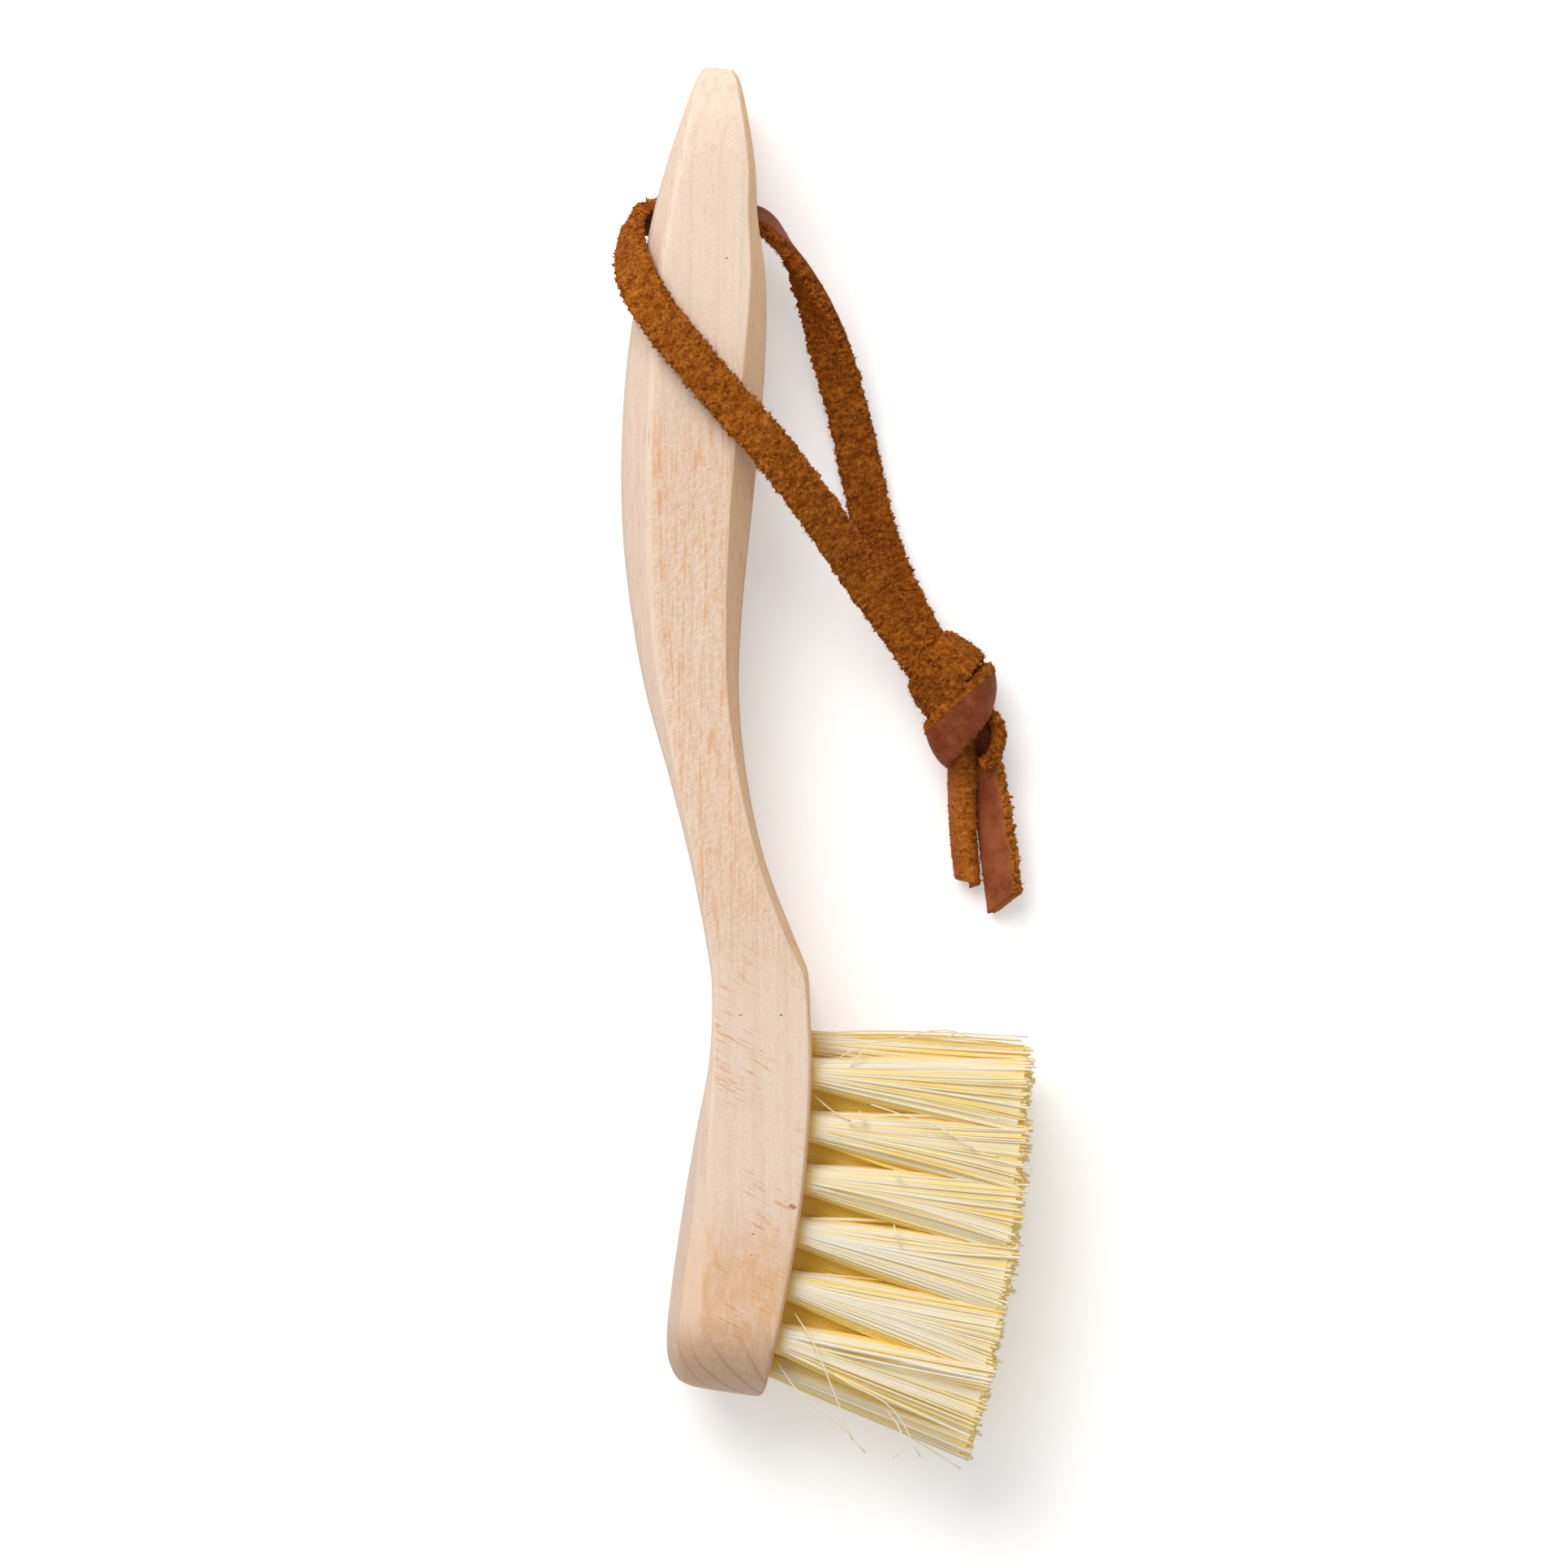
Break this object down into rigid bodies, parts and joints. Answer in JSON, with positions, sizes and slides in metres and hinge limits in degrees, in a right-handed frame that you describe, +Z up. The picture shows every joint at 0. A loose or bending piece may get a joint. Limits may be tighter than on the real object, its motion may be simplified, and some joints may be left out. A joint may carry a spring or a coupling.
{
  "type": "waffle iron brush",
  "caption": "Curved wooden hand brush with bevelled grip, staggered tufts of stiff pale plant fibre on a convex head and a knotted leather hanging loop, for cleaning a waffle iron.",
  "frame": {"origin": "on the surface that the brush lies on, under the middle of the bounding box of the brush without its lace", "axes": "+X from the back of the wood to the bristle tips, +Y from the head to the tip of the handle, +Z up from the side face it lies on"},
  "size_m": [0.0488, 0.1642, 0.0228],
  "materials": {
    "wood": "sanded, unvarnished pale hardwood",
    "fibre": "stiff pale plant fibre",
    "wire": "flat tinned wire",
    "leather": "suede on one side, smooth grain on the other"
  },
  "bodies": {
    "brush": {"handle": "wood", "tuft_upper_1": "fibre", "tuft_upper_2": "fibre", "tuft_upper_3": "fibre", "tuft_upper_4": "fibre", "tuft_upper_5": "fibre", "tuft_upper_6": "fibre", "tuft_middle_1": "fibre", "tuft_middle_2": "fibre", "tuft_middle_3": "fibre", "tuft_middle_4": "fibre", "tuft_middle_5": "fibre", "tuft_middle_6": "fibre", "tuft_middle_7": "fibre", "tuft_lower_1": "fibre", "tuft_lower_2": "fibre", "tuft_lower_3": "fibre", "tuft_lower_4": "fibre", "tuft_lower_5": "fibre", "tuft_lower_6": "fibre", "anchor_upper_1": "wire", "anchor_upper_2": "wire", "anchor_upper_3": "wire", "anchor_upper_4": "wire", "anchor_upper_5": "wire", "anchor_upper_6": "wire", "anchor_middle_1": "wire", "anchor_middle_2": "wire", "anchor_middle_3": "wire", "anchor_middle_4": "wire", "anchor_middle_5": "wire", "anchor_middle_6": "wire", "anchor_middle_7": "wire", "anchor_lower_1": "wire", "anchor_lower_2": "wire", "anchor_lower_3": "wire", "anchor_lower_4": "wire", "anchor_lower_5": "wire", "anchor_lower_6": "wire"},
    "loop": {"lace_back_leg": "leather", "lace_front_leg": "leather", "lace_knot": "leather", "lace_tail_left": "leather", "lace_tail_right": "leather"}
  },
  "joints": [
    {"name": "loop_swing", "type": "hinge", "parent": "brush", "child": "loop", "pos_m": [0, 0.0644, 0.01], "axis": [-1, 0, 0], "range_deg": [0, 160]}
  ]
}
